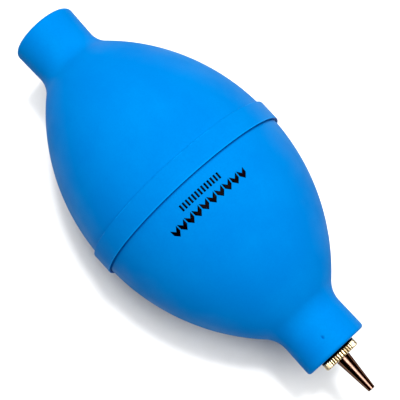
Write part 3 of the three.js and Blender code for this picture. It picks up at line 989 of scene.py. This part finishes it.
def tubes(paths, radii, sides, across):
    """Closed tubes along paths, an array of (tube, point, xyz).

    Each ring is path + cos(a) * r1 * n1 + sin(a) * r2 * n2. n1 is square to the path and to the
    given direction across it, and n2 is square to both. Half-sphere ends close each tube.
    """
    along = np.gradient(paths, axis=1)
    along /= np.linalg.norm(along, axis=2, keepdims=True)
    size = max(radii)
    swell = np.radians(CAP_ANGLES)
    head = paths[:, :1] - along[:, :1] * (size * np.sin(swell))[None, :, None]
    tail = paths[:, -1:] + along[:, -1:] * (size * np.sin(swell[::-1]))[None, :, None]
    centre = np.concatenate([head, paths, tail], axis=1)
    heading = np.concatenate([along[:, :1]] * 2 + [along] + [along[:, -1:]] * 2, axis=1)
    shrink = np.concatenate([np.cos(swell), np.ones(paths.shape[1]), np.cos(swell[::-1])])
    first = np.cross(heading, across)
    first /= np.linalg.norm(first, axis=2, keepdims=True)
    second = np.cross(first, heading)
    turn = turn_round(sides)[None, None, :, None]
    ring = (np.cos(turn) * radii[0] * first[:, :, None]
            + np.sin(turn) * radii[1] * second[:, :, None])
    rings = centre[:, :, None] + shrink[None, :, None, None] * ring
    poles = np.stack([
        paths[:, 0] - size * along[:, 0], paths[:, -1] + size * along[:, -1]], axis=1)
    count, rows = centre.shape[:2]
    points = np.concatenate([rings.reshape(count, -1, 3), poles], axis=1)
    column = np.arange(sides)
    beside = np.roll(column, -1)
    last = (rows - 1) * sides
    low_cap = np.stack([np.full(sides, rows * sides), column, beside], axis=-1)
    high_cap = np.stack([np.full(sides, rows * sides + 1), last + beside, last + column], axis=-1)
    offset = (rows * sides + 2) * np.arange(count)[:, None, None]
    quads = (grid_faces(rows, sides, False, True)[None] + offset).reshape(-1, 4)
    caps = (np.concatenate([low_cap, high_cap])[None] + offset).reshape(-1, 3)
    return points, quads, caps


# %% [markdown]
# The gauze is woven, and its wires pass over and under each other. Each wire is a sine along its
# length whose half wave is one spacing, and the next wire has the opposite sign. The wires across
# do the reverse, so they never meet.

# %% Woven gauze
gauze_start, gauze_end = node_span("dust_gauze")
GAUZE = {"radius": 3.2, "spacing": 0.5, "wire": 0.075, "steps": 73, "wires": 12, "rise": 0.8,
         "sides": 8}
gauze_middle = (gauze_start + gauze_end) / 2
lines = (np.arange(GAUZE["wires"]) - (GAUZE["wires"] - 1) / 2) * GAUZE["spacing"]
reach = np.sqrt(GAUZE["radius"] ** 2 - lines ** 2)[:, None]
run = np.linspace(-1, 1, GAUZE["steps"])[None, :] * reach
sign = np.where(np.arange(len(lines)) % 2 == 0, 1.0, -1.0)[:, None]
weave = GAUZE["rise"] * GAUZE["wire"] * sign * np.sin(np.pi * (run / GAUZE["spacing"]))
flat_line = lines[:, None] + 0 * run


def gauze_paths(y, z, lift):
    """Wire paths in the gauze's plane, lifted along the axis by the weave."""
    return np.stack([MIDDLE + gauze_middle + lift, y, AXIS_HEIGHT + z], axis=-1)


warp = gauze_paths(run, flat_line, weave)
weft = gauze_paths(flat_line, run, -weave)
wires, quads, caps = tubes(
    np.concatenate([warp, weft]), (GAUZE["wire"],) * 2, GAUZE["sides"], ALONG_AXIS)
gauze = put_mesh("woven_gauze", wires, quads, caps)
gauze.data.materials.append(steel)
attach(gauze, "bulb", "steel", "dust_gauze")

# %% [markdown]
# A snap ring holds the gauze in. It is a flat wire bent into a C, so its section is an ellipse
# and its path is most of a circle. The valve's return spring is a round wire along a helix, with
# a rise that is even from one end to the other.

# %% Snap ring and spring
SNAP_RING = {"radius": 3.09, "section": (0.27, 0.17), "half_gap": np.pi / 10,
             "end_margin": 0.1, "points": 120, "sides": 16}
ring_start, ring_end = node_span("gauze_ring")
opening = SNAP_RING["half_gap"] + SNAP_RING["end_margin"]
bend = np.linspace(opening, 2 * np.pi - opening, SNAP_RING["points"])[None, :]
ring_path = place((ring_start + ring_end) / 2, SNAP_RING["radius"], bend + np.pi / 2)
ring_points, quads, caps = tubes(
    ring_path, SNAP_RING["section"], SNAP_RING["sides"], ALONG_AXIS)
snap_ring = put_mesh("snap_ring", ring_points, quads, caps)
snap_ring.data.materials.append(steel)
attach(snap_ring, "bulb", "steel", "gauze_ring")

SPRING = {"coil": 1.3, "wire": 0.14, "turns": 4.5, "end_gap": 0.16, "points": 260, "sides": 10}
spring_start, spring_end = node_span("valve_spring")
along = np.linspace(0, 1, SPRING["points"])[None, :]
coil_length = spring_end - spring_start - 2 * SPRING["end_gap"]
coil_station = spring_start + SPRING["end_gap"] + coil_length * along
coil_path = place(coil_station, SPRING["coil"], -2 * np.pi * SPRING["turns"] * along)
spring_points, quads, caps = tubes(
    coil_path, (SPRING["wire"],) * 2, SPRING["sides"], ALONG_AXIS)
spring = put_mesh("return_spring", spring_points, quads, caps)
spring.data.materials.append(steel)
attach(spring, "bulb", "steel", "valve_spring")
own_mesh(spring)

# %% [markdown]
# The ball is ground round, so it is a half circle turned about the axis. Its two poles are single
# points. The perforated disc that holds the spring is already right in the frame, and only gets
# its finish.

# %% Ball and keeper
BALL_ROWS = 39
BALL_COLUMNS = 80
ball_low, ball_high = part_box("valve_ball")
ball_middle = sum(node_span("valve_ball")) / 2
ball_radius = 1000 * (ball_high.x - ball_low.x) / 2
latitude = np.linspace(0, np.pi, BALL_ROWS + 2)[1:-1][:, None]
angle = turn_round(BALL_COLUMNS)[None, :]
ball_rings = place(
    ball_middle - ball_radius * np.cos(latitude), ball_radius * np.sin(latitude), angle)
ball_poles = place(np.array([ball_middle - ball_radius, ball_middle + ball_radius]), 0.0, 0.0)
rows, sides = latitude.size, angle.size
column = np.arange(sides)
beside = np.roll(column, -1)
tail_cap = np.stack([np.full(sides, rows * sides), column, beside], axis=-1)
nose_cap = np.stack(
    [np.full(sides, rows * sides + 1), (rows - 1) * sides + beside, (rows - 1) * sides + column],
    axis=-1)
ball = put_mesh(
    "steel_ball", np.concatenate([ball_rings.reshape(-1, 3), ball_poles]),
    grid_faces(rows, sides, False, True), tail_cap, nose_cap)
ball.data.materials.append(steel)
attach(ball, "ball", "steel", "valve_ball")

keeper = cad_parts["ball_keeper"]
keeper.data.materials.clear()
keeper.data.materials.append(brass)

# %% [markdown]
# ## The table
# The table is one large sheet. It isn't part of the object. Its paper is a light grey, which the
# lamps are strong enough to make white. A whiter paper would throw so much light back that the
# shadow and the bulb's dark flank would be lost. It has a little grain, so that the shadow falls on
# paper and not on nothing.

# %% Floor
FLOOR_HALF = 3000.0
FLOOR_LINES = 9
PAPER_DARK = (0.615, 0.615, 0.610, 1)
PAPER_LIGHT = (0.630, 0.630, 0.625, 1)
pale_paper, paper_shader = start_finish("pale_paper", Roughness=0.9, Specular_IOR_Level=0.1)
paper_noise = noise(pale_paper, 300, detail=4, roughness=0.6)
paper_tone = remap(pale_paper, paper_noise, 0.3, 0.7)
link(
    pale_paper,
    blend_colours(pale_paper, paper_tone, PAPER_DARK, PAPER_LIGHT),
    paper_shader.inputs["Base Color"])
corner = np.linspace(-FLOOR_HALF, FLOOR_HALF, FLOOR_LINES)
floor_x, floor_y = np.meshgrid(corner, corner, indexing="ij")
floor = put_mesh(
    "floor", np.stack([floor_x, floor_y, 0 * floor_x], axis=-1),
    grid_faces(FLOOR_LINES, FLOOR_LINES, False, False))
floor.data.materials.append(pale_paper)
